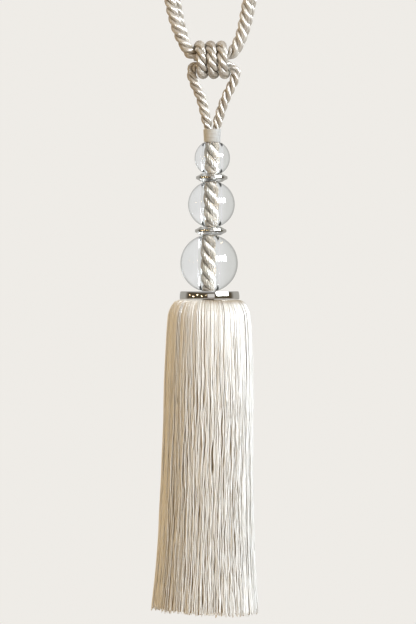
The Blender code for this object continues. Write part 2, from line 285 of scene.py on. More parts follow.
def measure_surface(piece, tubes, sides, length, girth):
    """Gives the tubes a UV map in millimetres, each tube shifted along so that no two look the same."""
    mesh = piece.data
    # The converted mesh holds the tubes' end caps first, the last tube's before the others', then the walls.
    walls = (len(mesh.vertices) - 2 * sides * tubes) // tubes
    caps = np.repeat(np.arange(tubes)[::-1], 2 * sides)
    owner = np.concatenate([caps, np.repeat(np.arange(tubes), walls)])
    corner = np.empty(len(mesh.loops), dtype=np.int32)
    mesh.loops.foreach_get("vertex_index", corner)
    uv = np.empty(2 * len(mesh.loops), dtype=np.float32)
    layer = mesh.uv_layers[0]
    layer.data.foreach_get("uv", uv)
    uv = uv.reshape(-1, 2)
    uv[:, 0] = uv[:, 0] * length + owner[corner] * TUBE_SHIFT % MAP_LENGTH
    uv[:, 1] *= girth
    layer.data.foreach_set("uv", uv.ravel())
    only(piece)
    bpy.ops.object.mode_set(mode="EDIT")
    bpy.ops.mesh.select_all(action="SELECT")
    bpy.ops.mesh.remove_doubles(threshold=TOUCHING)
    bpy.ops.object.mode_set(mode="OBJECT")


# %% Lay three strands
TAKE_UP = 1.2  # about how much longer a strand is than its rope


def laid_rope(name, line, thickness):
    """A rope along points in millimetres. thickness(s, length) is its share of the full diameter."""
    length = length_of(line)
    step = length / (len(line) - 1)
    sides = sides_of(line)
    curve = bpy.data.curves.new(name, "CURVE")
    curve.dimensions = "3D"
    curve.bevel_mode = "OBJECT"
    curve.bevel_object = outline
    curve.use_fill_caps = True
    for strand in range(STRANDS):
        spline = curve.splines.new("POLY")
        spline.points.add(len(line) - 1)
        for k, (point, middle) in enumerate(zip(spline.points, line)):
            share = thickness(k * step, length)
            turn = math.tau * (strand / STRANDS - k * step / PITCH)
            side, up = sides[k]
            place = middle + (side * math.cos(turn) + up * math.sin(turn)) * STRAND_OFFSET * share
            point.co = (*(place * MM), 1)
            point.radius = share
            point.tilt = math.tau * k * step * (1 / PITCH + 1 / YARN_PITCH)
    rope = mesh_of(name, curve)
    measure_surface(rope, STRANDS, STRAND_SIDES, length * TAKE_UP, STRAND_RADIUS * math.tau)
    return rope


# %% [markdown]
# ## The loop and the tassel's rope
# Where a rope is gripped, in the knot and in the sleeve, its strands are pressed together, so it gets
# thinner there and swells again outside. The two loop ropes and the tassel's rope are free cords, laid
# along the line that they follow.

# %% How a grip thins a rope
KNOT_GRIP = 0.69  # the share of the thickness that is left in the knot
KNOT_REACH = 9.2
KNOT_RELEASE = 4.4
SLEEVE_GRIP = 0.56
SLEEVE_REACH = 3.2
SLEEVE_RELEASE = 5.0
LEG_THICKNESS = 0.88


def ease(t):
    """A smooth step from 0 to 1."""
    t = min(max(t, 0.0), 1.0)
    return t * t * (3 - 2 * t)


def swelling(gripped, free, past, release):
    """The thickness a way past a grip. It grows from gripped to free within the release."""
    return gripped + (free - gripped) * ease(past / release)


def loop_thickness(s, length):
    return swelling(KNOT_GRIP, 1.0, min(s, length - s) - KNOT_REACH, KNOT_RELEASE)


def tassel_thickness(s, length):
    leg = swelling(SLEEVE_GRIP, LEG_THICKNESS, min(s, length - s) - SLEEVE_REACH, SLEEVE_RELEASE)
    knot = swelling(KNOT_GRIP, 1.0, abs(s - length / 2) - KNOT_REACH, KNOT_RELEASE)
    return min(leg, knot)


print("in the knot the ropes are", round(KNOT_GRIP * ROPE, 1), "mm thick")

# %% Lay the free cords
def free_cord(name, line, thickness):
    """A rope laid along its own line."""
    rope = laid_rope(name, line, thickness)
    return rope


loop_front = free_cord("loop_rope_front", front_route, loop_thickness)
loop_back = free_cord("loop_rope_back", back_route, loop_thickness)
tassel_rope = free_cord("tassel_rope", tassel_route, tassel_thickness)
stands_for(loop_front, "embrace_cord_front")
stands_for(loop_back, "embrace_cord_back")
stands_for(tassel_rope, "tassel_cord")

# %% [markdown]
# ## The knot
# The knot is a piece of the same rope wound three times round the others. A plain helix would lean the
# same all the way round. On the real knot the turns stand nearly upright at the front and cross over at the
# back, so the helix is held back in front. Its cut ends taper off and hide behind.

# %% Wind the knot
KNOT_TURNS = 3
KNOT_SPACING = 6.0
KNOT_THICKNESS = 0.94
KNOT_OUTSIDE = 10.9
KNOT_RADIUS = KNOT_OUTSIDE - KNOT_THICKNESS * ROPE / 2
KNOT_UPRIGHT = 0.09
KNOT_TIP = 0.4
KNOT_TAPER = 6.0
TURN_POINTS = 48


def knot_line():
    """Points round the knot, starting and ending behind it."""
    fine = []
    for k in range(TURN_POINTS * KNOT_TURNS + 1):
        turn = k / TURN_POINTS - 0.5  # it starts behind, half a turn before the front
        wound = turn - KNOT_UPRIGHT * math.sin(math.tau * turn)
        angle = math.tau * (turn + 0.25)  # from the top, which is a quarter of a turn before the front
        across = KNOT_SPACING * (wound - (KNOT_TURNS - 1) / 2)
        fine.append(KNOT + Vector((across, -KNOT_RADIUS * math.sin(angle), KNOT_RADIUS * math.cos(angle))))
    return even(fine, STEP)


def knot_thickness(s, length):
    return KNOT_THICKNESS * swelling(KNOT_TIP, 1.0, min(s, length - s), KNOT_TAPER)


knot = laid_rope("knot_rope", knot_line(), knot_thickness)
stands_for(knot, "binding_cord")

# %% [markdown]
# ## The rope inside the balls
# The balls are strung on one more rope. It shows through the glass, which makes it look wider than it is,
# and it lies a little to the left in the bores. Its route takes each bore's ends from the CAD model.

# %% Lay the inner rope
def middle_of(node):
    lo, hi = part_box(node)
    return (Vector(lo) + Vector(hi)) / 2


CORE_THICKNESS = 1.1
CORE_LEAN = 0.2
bore_ends = []
for node in ("bead_large", "bead_medium", "bead_small"):
    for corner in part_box(node):
        bore_ends.append(Vector((middle_of(node).x / MM - CORE_LEAN, 0, corner[2] / MM)))
core_lo, core_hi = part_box("core_cord")
core_foot = Vector((bore_ends[0].x, 0, core_lo[2] / MM))
core_top = Vector((bore_ends[-1].x, 0, core_hi[2] / MM))
core_route = smooth([core_foot, *bore_ends, core_top], STEP)
inner_rope = laid_rope("inner_rope", core_route, lambda s, length: CORE_THICKNESS)
stands_for(inner_rope, "core_cord")

# %% [markdown]
# ## Turned pieces
# The cap and the discs are turned on a lathe. A lathe cuts one outline all the way round, so a circle is
# pushed on and scaled, row by row, until the outline comes back to its start, and the last row is joined to
# the first. A plain cylinder would have sharp edges, which no real plated disc has.

# %% Turn an outline
def turned(name, rows, middle, sides=96):
    """Rows are (radius, height) in millimetres from the middle, outside first and from the top down."""
    radius, height = rows[0]
    start = middle + Vector((0, 0, height * MM))
    bpy.ops.object.select_all(action="DESELECT")
    bpy.ops.mesh.primitive_circle_add(vertices=sides, radius=radius * MM, location=start)
    piece = bpy.context.object
    piece.name = name
    at_origin(piece)
    bpy.ops.object.mode_set(mode="EDIT")
    bpy.ops.mesh.select_all(action="SELECT")
    for (r0, z0), (r1, z1) in zip(rows, rows[1:]):
        bpy.ops.mesh.extrude_region_move(TRANSFORM_OT_translate={"value": (0, 0, (z1 - z0) * MM)})
        bpy.ops.transform.resize(value=(r1 / r0, r1 / r0, 1), center_override=middle)
    bpy.ops.mesh.select_mode(type="EDGE")
    bpy.ops.mesh.select_all(action="DESELECT")
    bpy.ops.mesh.select_non_manifold()
    bpy.ops.mesh.bridge_edge_loops()
    bpy.ops.mesh.select_all(action="SELECT")
    bpy.ops.mesh.normals_make_consistent(inside=False)
    bpy.ops.object.mode_set(mode="OBJECT")
    return piece


def smooth_sides(piece, angle):
    """Shades a piece smooth, but for edges sharper than an angle in degrees."""
    only(piece)
    bpy.ops.object.shade_smooth_by_angle(angle=math.radians(angle))


# %% [markdown]
# ## Clear balls
# Each ball is solid clear glass with a drilled bore. A sphere is cut flat at both ends, its cut edges are
# drawn in to the bore, and the two edges are joined by the bore's wall. The faces must be fine, because
# glass bends light by its surface and would show every flat. Clear glass throws hardly any shadow, so the
# balls are left out of the shadows and the rope inside them is lit as brightly as it is on the real thing.
# A row of the table holds the piece, its node, its radius and the radius of its flat ends.

# %% Cut and bore a ball
BORE = 4.2
BALL_SIDES = 96
BALL_RINGS = 64
BALLS = (
    ("ball_small", "bead_small", 9.85, 5.2),
    ("ball_medium", "bead_medium", 13.0, 4.6),
    ("ball_large", "bead_large", 16.0, 4.4),
)


def glass_ball(name, middle, radius, seat):
    """A ball of a radius in millimetres whose flat ends have the seat's radius."""
    bpy.ops.object.select_all(action="DESELECT")
    bpy.ops.mesh.primitive_uv_sphere_add(segments=BALL_SIDES, ring_count=BALL_RINGS, radius=radius * MM,
                                         location=middle)
    ball = bpy.context.object
    ball.name = name
    at_origin(ball)
    half = math.sqrt(radius**2 - seat**2) * MM
    bpy.ops.object.mode_set(mode="EDIT")
    for way in (1, -1):
        cut = middle + Vector((0, 0, way * half))
        bpy.ops.mesh.select_all(action="SELECT")
        bpy.ops.mesh.bisect(plane_co=cut, plane_no=(0, 0, way), clear_outer=True, threshold=TOUCHING)
    bpy.ops.mesh.select_mode(type="EDGE")
    bpy.ops.mesh.select_all(action="DESELECT")
    bpy.ops.mesh.select_non_manifold()
    bpy.ops.mesh.extrude_region_move()
    bpy.ops.transform.resize(value=(BORE / seat, BORE / seat, 1), center_override=middle)
    bpy.ops.mesh.bridge_edge_loops()
    bpy.ops.mesh.select_all(action="SELECT")
    bpy.ops.mesh.normals_make_consistent(inside=False)
    bpy.ops.object.mode_set(mode="OBJECT")
    return ball


# %% Make the three balls
balls = []
for name, node, radius, seat in BALLS:
    ball = glass_ball(name, middle_of(node), radius, seat)
    smooth_sides(ball, 35)
    ball.visible_shadow = False
    stands_for(ball, node)
    balls.append(ball)

# %% [markdown]
# ## Bright discs and cap
# A lens-shaped disc sits between each two balls, with a hub at both faces and a thin rim. The cap is a flat
# disc with rounded edges, and its side leans in a little towards the top, so that it mirrors the light from
# above. Both are turned, from an outline of radius and height.

# %% Turn the discs
DISC_BORE = 4.8
HUB = 2.35  # half the height of a disc's hub
DISC_TOP = (
    (5.55, HUB),
    (5.75, 2.3),
    (6.4, 1.92),
    (7.2, 1.42),
    (7.9, 1.06),
    (8.3, 0.9),
    (8.58, 0.78),
    (8.72, 0.64),
    (8.77, 0.42),
)
disc_rows = DISC_TOP + tuple((r, -z) for r, z in reversed(DISC_TOP)) + ((DISC_BORE, -HUB), (DISC_BORE, HUB))
discs = []
for name, node in (("disc_between_upper", "disc_upper"), ("disc_between_lower", "disc_lower")):
    disc = turned(name, disc_rows, middle_of(node))
    smooth_sides(disc, 30)
    stands_for(disc, node)
    discs.append(disc)

# %% Turn the cap
CAP_HALF = 2.2
CAP_EDGE = (
    (15.9, CAP_HALF),
    (16.13, 2.13),
    (16.27, 1.95),
    (16.36, 1.6),
    (16.47, 1.0),
    (16.57, 0.4),
    (16.64, -0.4),
    (16.65, -1.2),
    (16.6, -1.8),
    (16.5, -2.05),
    (16.3, -CAP_HALF),
)
cap = turned("cap", CAP_EDGE + ((BORE, -CAP_HALF), (BORE, CAP_HALF)), middle_of("cap_disc"))
smooth_sides(cap, 30)
stands_for(cap, "cap_disc")

# %% [markdown]
# ## The wound sleeve
# Fine thread is wound round the two legs of the tassel's rope above the first ball. Grooves turned into a
# ring would be too even, so it is one long helix of thread that wanders a little, over a smooth band that
# closes the gaps between its turns.

# %% Wind the thread
SLEEVE_TOP = 4.95  # the outer radius at the top, and then at the foot
SLEEVE_FOOT = 4.6
THREAD = 0.27
THREAD_SIDES = 6
WINDS = 27
WIND_POINTS = 40
WANDER = 0.07
STAND_OUT = 0.4  # the share of the wander by which a turn also stands out
sleeve_lo, sleeve_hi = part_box("sleeve")
sleeve_middle = middle_of("sleeve")


def sleeve_radius(share):
    """The sleeve's radius at a share of its height."""
    return SLEEVE_FOOT + (SLEEVE_TOP - SLEEVE_FOOT) * share


def wound_thread():
    """One helix of thread from the sleeve's foot to its top."""
    rng = random.Random(3)
    curve = bpy.data.curves.new("sleeve_thread", "CURVE")
    curve.dimensions = "3D"
    curve.bevel_depth = THREAD / 2 * MM
    curve.bevel_resolution = (THREAD_SIDES - 4) // 2
    curve.use_fill_caps = True
    steps = WIND_POINTS * WINDS
    spline = curve.splines.new("POLY")
    spline.points.add(steps)
    height = (sleeve_hi[2] - sleeve_lo[2]) / MM - THREAD
    wobble = [rng.uniform(-WANDER, WANDER) for _ in range(WINDS + 2)]
    for k, point in enumerate(spline.points):
        turn = k / WIND_POINTS
        share = k / steps
        own = wobble[int(turn)] * (1 - turn % 1) + wobble[int(turn) + 1] * (turn % 1)
        reach = sleeve_radius(share) - THREAD / 2 + STAND_OUT * own
        z = sleeve_lo[2] / MM + THREAD / 2 + height * share + own * math.sin(math.pi * share)
        angle = math.tau * turn
        x = sleeve_middle.x / MM + reach * math.cos(angle)
        point.co = (x * MM, reach * math.sin(angle) * MM, z * MM, 1)
    thread = mesh_of("sleeve_thread", curve)
    measure_surface(thread, 1, THREAD_SIDES, math.tau * SLEEVE_TOP * WINDS, math.pi * THREAD)
    return thread


sleeve_thread = wound_thread()
stands_for(sleeve_thread, "sleeve")

# %% Turn the band under the thread
BAND_HALF = 3.6
BAND_OUTSIDE = 0.2  # how far the band's outer and inner walls lie under the thread's outside
BAND_INSIDE = 0.55
band_rows = []
for share, inset in ((1, BAND_OUTSIDE), (0, BAND_OUTSIDE), (0, BAND_INSIDE), (1, BAND_INSIDE)):
    band_rows.append((sleeve_radius(share) - inset, BAND_HALF * (2 * share - 1)))
sleeve_band = turned("sleeve_band", band_rows, sleeve_middle, sides=48)
smooth_sides(sleeve_band, 30)
stands_for(sleeve_band, "sleeve")

# %% [markdown]
# ## The skirt
# The skirt is well over a thousand fine silky yarns. They come out from under the cap, bend over a round
# shoulder and hang down, and they drift into locks with dark gaps between them. A bump map would look like
# a printed cone, so each yarn is a thin tube of its own. Five layers lie one under another. The two outer
# ones are whiter, and the three inner ones get a tan copy of the same silk, a painted shade that shows in the
# gaps. The hem is trimmed at a slight slant, with ends that differ by a millimetre or so.
# A row of the outer shape holds a radius and the depth below the skirt's top, and a row of the middle line
# holds a depth and the x of the skirt's middle there.

# %% The shape that the yarns lie on
SKIRT_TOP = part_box("skirt")[1][2] / MM
OUTER_SHAPE = (
    (14.6, 0.0),
    (16.6, 0.0),
    (19.4, 1.1),
    (21.9, 4.8),
    (23.3, 9.8),
    (24.9, 40.0),
    (25.4, 75.0),
    (26.2, 110.0),
    (27.7, 145.0),
    (30.2, 174.0),
)
MIDDLE_LINE = (
    (0.0, -0.5),
    (9.8, -0.5),
    (40.0, -0.7),
    (75.0, -1.1),
    (110.0, -1.7),
    (145.0, -2.4),
    (174.0, -3.0),
)

PROFILE_STEP = 0.5
profile = smooth([Vector((radius, 0, -depth)) for radius, depth in OUTER_SHAPE], PROFILE_STEP)
profile_length = length_of(profile)
radii = np.array([point.x for point in profile])
depths = np.array([-point.z for point in profile])
places = np.linspace(0, profile_length, len(profile))
out_radius, out_depth = np.gradient(radii, places), np.gradient(depths, places)
print("a yarn of the outer layer is", round(profile_length), "mm long")

# %% [markdown]
# ## Locks in the skirt
# Neighbouring yarns cling together in locks and part again further down. A yarn that strayed only by itself
# would give an even haze, so all the yarns of a layer are moved by the same few waves round the skirt. A row
# of the table holds the number of waves, how far they move a yarn in millimetres, and how they lean. Each
# yarn then has a long and a short wave of its own and sways in and out. All of this starts from nothing near
# the root, where the cap holds the yarns.

# %% How the yarns drift
LOCKS = (
    (5, 0.4, 0.010),
    (9, 0.4, -0.016),
    (23, 0.2, 0.03),
    (41, 0.16, -0.06),
    (59, 0.17, 0.11),
    (67, 0.17, -0.13),
    (89, 0.14, 0.17),
    (97, 0.13, -0.15),
)
LOCKS_START = 6
LOCKS_GROWTH = 70


def drift(home, s, phase):
    """How far a yarn has moved round the skirt, in millimetres, at a length s from its root."""
    move = np.zeros_like(s)
    for number, reach, lean in LOCKS:
        move += reach * np.sin(number * home + lean * s + phase * number)
    return move * np.clip((s - LOCKS_START) / LOCKS_GROWTH, 0, 1)


print("the locks move a yarn by up to", round(sum(reach for _, reach, _ in LOCKS), 2), "mm")

# %% The line of one yarn
YARN = 0.56
YARN_SIDES = 4
SHOULDER = 14  # the length over the shoulder, which gets a quarter of a yarn's points
HEM_TRIM = 1.8
HEM_SLANT = 1.4
HEM_SPREAD = 0.9
HEM_RISE = 0.25  # how much sooner a yarn ends for each millimetre that it lies deeper
HEM_TIP = 0.15
LONG_WAVE = 0.2
LONG_BENDS = (4, 12)
SHORT_WAVE = 0.16
SHORT_BENDS = (1.4, 2.8)
SWAY = 0.25
SWAY_BENDS = (12, 30)
LOOSE_START = 4
LOOSE_GROWTH = 60
SETTLING = 9


def yarn_line(rng, home, inset, steps, phase):
    """Points in metres down one yarn, from an angle under the cap, at a depth in its layer, to the hem."""
    trimmed = profile_length - HEM_TRIM + HEM_SLANT * math.sin(home)
    end = trimmed + rng.normal(0, HEM_SPREAD) - HEM_RISE * inset
    near = np.linspace(0, SHOULDER, steps // 4, endpoint=False)
    s = np.concatenate([near, np.linspace(SHOULDER, end - HEM_TIP, steps - len(near) - 1), [end]])
    own = rng.uniform(0, math.tau, 3)
    waves = LONG_WAVE * np.sin(s / rng.uniform(*LONG_BENDS) + own[0])
    waves += SHORT_WAVE * np.sin(s / rng.uniform(*SHORT_BENDS) + own[1])
    sway = SWAY * np.sin(s / rng.uniform(*SWAY_BENDS) + own[2])
    loose = np.clip((s - LOOSE_START) / LOOSE_GROWTH, 0, 1)
    settled = np.clip(s / SETTLING, 0, 1)
    side = drift(home, s, phase) + waves * loose
    sunk = YARN / 2 + (inset - YARN / 2 + sway * loose) * settled
    radius = np.interp(s, places, radii) - sunk * np.interp(s, places, out_depth)
    depth = np.interp(s, places, depths) + sunk * np.interp(s, places, out_radius)
    depth[s > profile_length] += (s - profile_length)[s > profile_length]
    angle = home + side / radius
    x = np.interp(depth, *zip(*MIDDLE_LINE)) + radius * np.sin(angle)
    spots = (x * MM, -radius * np.cos(angle) * MM, (SKIRT_TOP - depth) * MM, np.ones_like(s))
    return np.stack(spots, axis=1)


# %% Grow a layer of yarns
ROOT_STRAY = 0.4  # how far a root strays, as a share of the way to the next one
YARN_RANGE = (0.85, 1.12)


def yarn_layer(name, count, depth_range, steps, phase, seed):
    """Yarns whose roots are evenly spaced under the cap, each at its own depth in the layer."""
    rng = np.random.default_rng(seed)
    curve = bpy.data.curves.new(name, "CURVE")
    curve.dimensions = "3D"
    curve.bevel_depth = YARN / 2 * MM
    curve.bevel_resolution = (YARN_SIDES - 4) // 2
    curve.use_fill_caps = True
    for k in range(count):
        home = math.tau * (k + rng.uniform(-ROOT_STRAY, ROOT_STRAY)) / count
        inset = rng.uniform(*depth_range)
        spots = yarn_line(rng, home, inset, steps, phase)
        thickness = rng.uniform(*YARN_RANGE)
        spline = curve.splines.new("POLY")
        spline.points.add(steps - 1)
        spline.points.foreach_set("co", spots.astype(np.float32).ravel())
        spline.points.foreach_set("radius", np.full(steps, thickness, dtype=np.float32))
    layer = mesh_of(name, curve)
    measure_surface(layer, count, YARN_SIDES, profile_length, math.pi * YARN)
    return layer


# %% [markdown]
# ## The skirt's five layers
# A few thousand yarns in one layer would be more faces than the model may have, and most of them would never
# show. So the outer layer is the finest, and each layer under it has fewer points to a yarn. A row of the
# table holds the layer, its yarns, how deep they lie, the points of a yarn, the turn of its locks and the
# seed of its random draws.

# %% Grow the five layers
LAYERS = (
    ("yarns_outer", 300, (0.3, 1.3), 80, 0.37, 11),
    ("yarns_second", 330, (0.9, 2.0), 64, 0.37, 12),
    ("yarns_third", 330, (1.8, 3.2), 44, 0.55, 13),
    ("yarns_fourth", 300, (3.0, 4.6), 30, 0.81, 14),
    ("yarns_deep", 240, (4.4, 7.0), 20, 0.81, 15),
)
yarns = []
for row in LAYERS:
    layer = yarn_layer(*row)
    stands_for(layer, "skirt")
    yarns.append(layer)

# %% [markdown]
# ## Helpers for materials
# Every material below is a small tree of nodes. The same few steps come back in all of them: feeding a
# socket, a sum, soft noise, a value that rises between two limits, and a blend of two colours. Each is
# written once here, so that a material reads as what it does.

# %% Nodes in short
def feed(tree, socket, value):
    """Links another node's output to a socket, or sets the socket to a plain value."""
    if isinstance(value, bpy.types.NodeSocket):
        tree.links.new(value, socket)
    else:
        socket.default_value = value


def result_of(tree, kind, **values):
    """A node's first output, with its inputs fed by name."""
    node = tree.nodes.new(kind)
    for name, value in values.items():
        feed(tree, node.inputs[name.replace("_", " ")], value)
    return node.outputs[0]


def parts_of(tree, kind, output):
    """The place that a new node gives, whole, and its X, Y and Z one by one."""
    place = tree.nodes.new(kind).outputs[output]
    split = tree.nodes.new("ShaderNodeSeparateXYZ")
    feed(tree, split.inputs[0], place)
    return place, split.outputs


def maths(tree, operation, *values):
    """The result of a Math node."""
    node = tree.nodes.new("ShaderNodeMath")
    node.operation = operation
    for socket, value in zip(node.inputs, values):
        feed(tree, socket, value)
    return node.outputs[0]


# %% Rising values and blends
def share_of(tree, source, low, high, bottom=0.0, top=1.0, kind="SMOOTHSTEP"):
    """A value that rises from bottom to top while the source goes from low to high."""
    node = tree.nodes.new("ShaderNodeMapRange")
    node.interpolation_type = kind
    limits = {"Value": source, "From Min": low, "From Max": high, "To Min": bottom, "To Max": top}
    for name, value in limits.items():
        feed(tree, node.inputs[name], value)
    return node.outputs[0]


def blend_of(tree, factor, a, b):
    """Two colours, or colours that other nodes give, mixed by a factor."""
    node = tree.nodes.new("ShaderNodeMix")
    node.data_type = "RGBA"
    for name, value in (("Factor", factor), ("A", a), ("B", b)):
        feed(tree, node.inputs[name], value)
    return node.outputs["Result"]


# %% Groups and materials
def new_group(name, inputs, outputs):
    """A node group with named inputs and their first values, and with named outputs of a kind."""
    group = bpy.data.node_groups.new(name, "ShaderNodeTree")
    for label, value in inputs.items():
        kind = "NodeSocketColor" if isinstance(value, tuple) else "NodeSocketFloat"
        group.interface.new_socket(label, in_out="INPUT", socket_type=kind).default_value = value
    for label, kind in outputs.items():
        group.interface.new_socket(label, in_out="OUTPUT", socket_type=kind)
    return group, group.nodes.new("NodeGroupInput").outputs, group.nodes.new("NodeGroupOutput").inputs


def placed(tree, group, **values):
    """Places a group in a material, gives it the material's own values, and returns its outputs."""
    node = tree.nodes.new("ShaderNodeGroup")
    node.node_tree = group
    for name, value in values.items():
        node.inputs[name].default_value = value
    return node.outputs


def material_of(name, **constants):
    """A Principled material whose even values are set on the shader's own sockets."""
    material = bpy.data.materials.new(name)
    material.use_nodes = True
    shader = material.node_tree.nodes["Principled BSDF"]
    for socket, value in constants.items():
        shader.inputs[socket.replace("_", " ")].default_value = value
    return material, shader


def dress(material, *pieces):
    """Gives pieces this material alone."""
    for piece in pieces:
        piece.data.materials.clear()
        piece.data.materials.append(material)
    print(material.name, "dresses", len(pieces), "pieces")


# %% [markdown]
# ## Silky thread as a material
# Rayon thread is a bundle of very fine parallel filaments. They show as faint streaks along the thread and
# give it a soft bright line where light runs across them. The same streaks are used on the ropes, the sleeve
# and the skirt, so they are built once as a node group. It reads the UV map, which is in millimetres along
# and round each thread. The streaks are noise that is stretched far along the thread, and wider patches of
# noise vary them.

# %% The filament group
ALONG = 0.12  # how fast the streaks change along a thread
STREAK_SHARE = 0.4  # the share of the colour that follows the streaks, while patches make the rest
PATCH_SCALE = 0.09
MIX_RANGE = (0.38, 0.62)  # the mixed noise that gives the dull colour, and that which gives the bright one
GLOSS_SPREAD = 0.12
FILAMENT_HEIGHT = 0.1 * MM

filaments, given, made = new_group(
    "silky_filaments",
    {"Bright": (0.8, 0.72, 0.6, 1), "Dull": (0.7, 0.6, 0.46, 1), "Streaks": 6.0, "Roughness": 0.45,
     "Depth": 0.3},
    {"Color": "NodeSocketColor", "Roughness": "NodeSocketFloat", "Normal": "NodeSocketVector"})
thread_map, parts = parts_of(filaments, "ShaderNodeUVMap", "UV")
along = maths(filaments, "MULTIPLY", parts["X"], ALONG)
around = maths(filaments, "MULTIPLY", parts["Y"], given["Streaks"])
stretched = result_of(filaments, "ShaderNodeCombineXYZ", X=along, Y=around)
streaks = result_of(filaments, "ShaderNodeTexNoise", Vector=stretched, Scale=1.0, Detail=3.0)
patches = result_of(filaments, "ShaderNodeTexNoise", Vector=thread_map, Scale=PATCH_SCALE, Detail=2.0)
patch_share = maths(filaments, "MULTIPLY", patches, 1 - STREAK_SHARE)
mixed = maths(filaments, "MULTIPLY_ADD", streaks, STREAK_SHARE, patch_share)
brightness = share_of(filaments, mixed, *MIX_RANGE, kind="LINEAR")
feed(filaments, made["Color"], blend_of(filaments, brightness, given["Dull"], given["Bright"]))
gloss = maths(filaments, "MULTIPLY_ADD", streaks, GLOSS_SPREAD, given["Roughness"])
feed(filaments, made["Roughness"], gloss)
relief = result_of(filaments, "ShaderNodeBump", Strength=given["Depth"], Distance=FILAMENT_HEIGHT,
                   Height=streaks)
feed(filaments, made["Normal"], relief)
print("the filament group has", len(filaments.nodes), "nodes")

# %% A silk of its own for each thread
def silky(name, bright, dull, streaks, roughness, depth, **constants):
    """A silk with its own two colours, streaks to a millimetre, gloss and depth."""
    material, shader = material_of(name, **constants)
    tree = material.node_tree
    threads = placed(tree, filaments, Bright=(*bright, 1), Dull=(*dull, 1), Streaks=streaks,
                     Roughness=roughness, Depth=depth)
    feed(tree, shader.inputs["Base Color"], threads["Color"])
    feed(tree, shader.inputs["Roughness"], threads["Roughness"])
    feed(tree, shader.inputs["Normal"], threads["Normal"])
    return material


# %% [markdown]
# ## Silk of the ropes
# On a laid rope the bright lines follow each strand. A round highlight would make it look like plastic, so
# the shine is drawn out along the strands, with a tangent that the UV map gives. The inner rope's silk is a
# darker, browner copy of the rope's silk, a painted shade for the rope inside the balls, which throw no
# shadow.

# %% Dress the ropes
ROPE_SHINE = {"IOR": 2.1, "Specular_IOR_Level": 1.0, "Anisotropic": 0.85}


def shine_along(material):
    """Draws the shine out along the strands."""
    tree = material.node_tree
    along = tree.nodes.new("ShaderNodeTangent")
    along.direction_type = "UV_MAP"
    along.uv_map = "UVMap"
    feed(tree, tree.nodes["Principled BSDF"].inputs["Tangent"], along.outputs[0])


rope_silk = silky("silk_rope", bright=(0.58, 0.535, 0.465), dull=(0.32, 0.265, 0.20), streaks=1.6,
                  roughness=0.15, depth=1.0, **ROPE_SHINE)
# Painted shade: a darker, browner copy of the rope's silk for the rope inside the balls.
inner_rope_shaded_silk = silky("silk_inner_rope_painted_shade", bright=(0.48, 0.43, 0.36), dull=(0.28, 0.22, 0.155), streaks=1.6,
                        roughness=0.14, depth=1.0, **ROPE_SHINE)
shine_along(rope_silk)
shine_along(inner_rope_shaded_silk)
dress(rope_silk, loop_front, loop_back, tassel_rope, knot)
dress(inner_rope_shaded_silk, inner_rope)

# %% [markdown]
# ## Silk of the sleeve and the skirt
# The sleeve's thread is duller and greyer than the rope. The skirt's outer yarns are bright and nearly white,
# and the yarns under them get a tan copy of the silk as painted shade. Under the cap the outer yarns are
# browned on the right by a painted shadow of the cap. Painting it on a mesh would tie it to its faces, so it
# follows the height and the side in the object's own coordinates.

# %% Dress the sleeve and the skirt
# Painted shadow: the cap's shade, browned onto the outer yarns just under the cap on the right.
CAP_SHADOW_BROWN = (0.36, 0.29, 0.20, 1)
CAP_SHADOW_REACH = 3.8
CAP_SHADOW_LEFT = -8.0  # where the painted shadow begins at the left, and where it is full
CAP_SHADOW_RIGHT = -1.0


def paint_cap_shadow(material):
    """Paints the cap's shadow onto the yarns just under the cap, on the right."""
    tree = material.node_tree
    base = tree.nodes["Principled BSDF"].inputs["Base Color"]
    silk_colour = base.links[0].from_socket
    _, parts = parts_of(tree, "ShaderNodeTexCoord", "Object")
    near_cap = share_of(tree, parts["Z"], (SKIRT_TOP - CAP_SHADOW_REACH) * MM, SKIRT_TOP * MM)
    to_right = share_of(tree, parts["X"], CAP_SHADOW_LEFT * MM, CAP_SHADOW_RIGHT * MM)
    painted_cap_shadow = maths(tree, "MULTIPLY", near_cap, to_right)
    feed(tree, base, blend_of(tree, painted_cap_shadow, silk_colour, CAP_SHADOW_BROWN))


sleeve_silk = silky("sleeve_thread", bright=(0.64, 0.645, 0.64), dull=(0.50, 0.48, 0.44), streaks=3.0,
                    roughness=0.5, depth=0.8, Sheen_Weight=0.1)
skirt_silk = silky("skirt_yarn", bright=(0.83, 0.822, 0.80), dull=(0.735, 0.692, 0.622), streaks=5.0,
                   roughness=0.32, depth=0.4, IOR=1.9, Specular_IOR_Level=1.0)
# Painted shade: the three inner layers get a tan, darker copy of the skirt's silk, for the shade deep in the
# skirt.
shaded_inner_silk = silky("skirt_yarn_inner_painted_shade", bright=(0.68, 0.56, 0.40), dull=(0.48, 0.36, 0.20), streaks=5.0,
                   roughness=0.4, depth=0.4)
paint_cap_shadow(skirt_silk)
dress(sleeve_silk, sleeve_thread, sleeve_band)
dress(skirt_silk, *yarns[:2])
dress(shaded_inner_silk, *yarns[2:])

# %% [markdown]
# ## Glass and bright metal
# The glass is clear and polished, with only faint handling marks in its gloss. The metal is a bright plating
# that mirrors the room, with finer marks. Perfect gloss would look like a drawing, and the same kind of marks
# is on all of them, so the marks are one node group that each material gives its own values.

# %% The group of fine marks
MARK_RANGE = (0.35, 0.75)  # the noise where a finish is glossiest, and where it is dullest
fine_marks, given, made = new_group("fine_marks", {"Scale": 90.0, "Least": 0.0, "Most": 0.1},
                                    {"Roughness": "NodeSocketFloat"})
place = fine_marks.nodes.new("ShaderNodeTexCoord").outputs["Object"]
marks = result_of(fine_marks, "ShaderNodeTexNoise", Vector=place, Scale=given["Scale"], Detail=4.0)
dulled = share_of(fine_marks, marks, *MARK_RANGE, given["Least"], given["Most"], kind="LINEAR")
feed(fine_marks, made["Roughness"], dulled)


